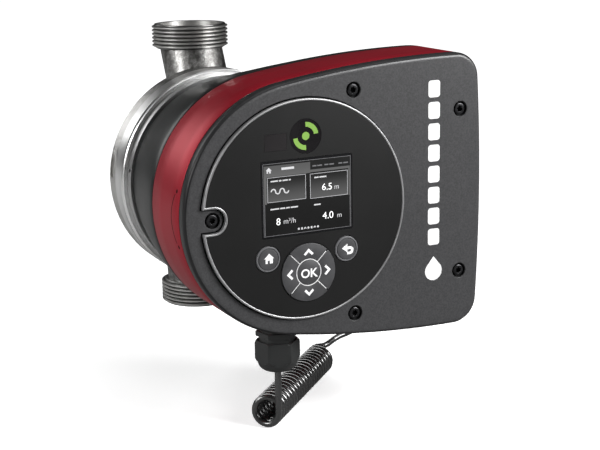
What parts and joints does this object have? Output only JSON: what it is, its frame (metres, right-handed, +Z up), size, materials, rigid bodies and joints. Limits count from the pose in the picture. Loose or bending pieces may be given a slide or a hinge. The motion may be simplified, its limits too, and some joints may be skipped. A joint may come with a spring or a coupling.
{
  "type": "circulator pump",
  "caption": "In-line canned-rotor heating circulator: threaded stainless housing, clamped motor, D-shaped control box with round key panel, screen and curly sensor lead.",
  "frame": {"origin": "centre of the inlet port's end face, on the pipe axis", "axes": "+Z up the pipe axis from the inlet to the outlet, -Y towards the front of the control box, +X to the right as the panel is read"},
  "size_m": [0.185, 0.2013, 0.2227],
  "materials": {
    "stainless_cast": "cast and bead-blasted stainless, machined at the ports",
    "stainless_sheet": "turned or pressed stainless",
    "black_rubber": "soft matt rubber",
    "bearing_ceramic": "fine ground technical ceramic",
    "lamination_steel": "stacked lamination edges",
    "copper_wire": "enamelled copper wire",
    "motor_aluminium": "die-cast, machined at the collar",
    "clamp_steel": "rolled bright stainless strip",
    "screw_steel": "plain stainless",
    "rear_cover_black": "satin moulded composite",
    "circuit_board": "solder-masked laminate",
    "capacitor_sleeve": "shrink sleeve",
    "terminal_plastic": "moulded polyamide",
    "shell_red": "deep red satin metallic coat",
    "cover_grey": "finely textured dark grey",
    "screw_black": "black coated six-lobed screws",
    "panel_plastic": "moulded carrier",
    "key_silicone": "silicone mat",
    "display_glass": "dark display panel",
    "panel_gloss": "gloss black front foil",
    "rim_grey": "satin silver-grey rim",
    "lens_glass": "clear hard window",
    "light_green": "lit green light pipe",
    "infrared_plastic": "dark infrared window",
    "key_grey": "dark grey silicone-coated caps",
    "gland_plastic": "moulded polyamide",
    "lead_black": "smooth black sheath"
  },
  "bodies": {
    "pump": {"pump_housing": "stainless_cast", "wear_ring": "stainless_sheet", "housing_oring": "black_rubber", "bearing_plate": "stainless_sheet", "front_bearing": "bearing_ceramic", "thrust_plate": "bearing_ceramic", "rear_bearing": "bearing_ceramic", "rotor_can": "stainless_sheet", "stator_core": "lamination_steel", "stator_windings": "copper_wire", "stator_housing": "motor_aluminium", "clamp_ring": "clamp_steel", "clamp_screw": "screw_steel", "rear_cover": "rear_cover_black", "heat_sink": "motor_aluminium", "power_board": "circuit_board", "power_capacitors": "capacitor_sleeve", "line_choke": "copper_wire", "terminal_block": "terminal_plastic", "middle_shell": "shell_red", "cover_gasket": "black_rubber", "front_cover": "cover_grey", "cover_screws": "screw_black", "panel_frame": "panel_plastic", "panel_board": "circuit_board", "key_mat": "key_silicone", "display_module": "display_glass", "panel_disc": "panel_gloss", "panel_rim": "rim_grey", "screen_lens": "lens_glass", "status_lens": "panel_gloss", "status_lights": "light_green", "infrared_window": "infrared_plastic", "gland_locknut": "gland_plastic", "gland_body": "gland_plastic", "gland_seal": "black_rubber", "gland_nut": "gland_plastic", "sensor_body": "stainless_sheet", "sensor_cap": "gland_plastic", "lead_drop": "lead_black", "lead_coil": "lead_black", "lead_tail": "lead_black"},
    "rotor": {"shaft": "bearing_ceramic", "thrust_collar": "stainless_sheet", "rotor_core": "stainless_sheet", "impeller": "stainless_sheet"},
    "key_home_cap": {"key_home": "key_grey"},
    "key_back_cap": {"key_back": "key_grey"},
    "key_ok_cap": {"key_ok": "key_grey"},
    "key_up_cap": {"key_up": "key_grey"},
    "key_right_cap": {"key_right": "key_grey"},
    "key_down_cap": {"key_down": "key_grey"},
    "key_left_cap": {"key_left": "key_grey"}
  },
  "joints": [
    {"name": "rotor_spin", "type": "hinge", "parent": "pump", "child": "rotor", "pos_m": [0, -0.06, 0.09], "axis": [0, 1, 0], "continuous": true},
    {"name": "key_home_press", "type": "slide", "parent": "pump", "child": "key_home_cap", "axis": [0, 1, 0], "range_m": [0, 0.0008], "stiffness_N_per_m": 1500},
    {"name": "key_back_press", "type": "slide", "parent": "pump", "child": "key_back_cap", "axis": [0, 1, 0], "range_m": [0, 0.0008], "stiffness_N_per_m": 1500},
    {"name": "key_ok_press", "type": "slide", "parent": "pump", "child": "key_ok_cap", "axis": [0, 1, 0], "range_m": [0, 0.0008], "stiffness_N_per_m": 1500},
    {"name": "key_up_press", "type": "slide", "parent": "pump", "child": "key_up_cap", "axis": [0, 1, 0], "range_m": [0, 0.0008], "stiffness_N_per_m": 1500},
    {"name": "key_right_press", "type": "slide", "parent": "pump", "child": "key_right_cap", "axis": [0, 1, 0], "range_m": [0, 0.0008], "stiffness_N_per_m": 1500},
    {"name": "key_down_press", "type": "slide", "parent": "pump", "child": "key_down_cap", "axis": [0, 1, 0], "range_m": [0, 0.0008], "stiffness_N_per_m": 1500},
    {"name": "key_left_press", "type": "slide", "parent": "pump", "child": "key_left_cap", "axis": [0, 1, 0], "range_m": [0, 0.0008], "stiffness_N_per_m": 1500}
  ]
}
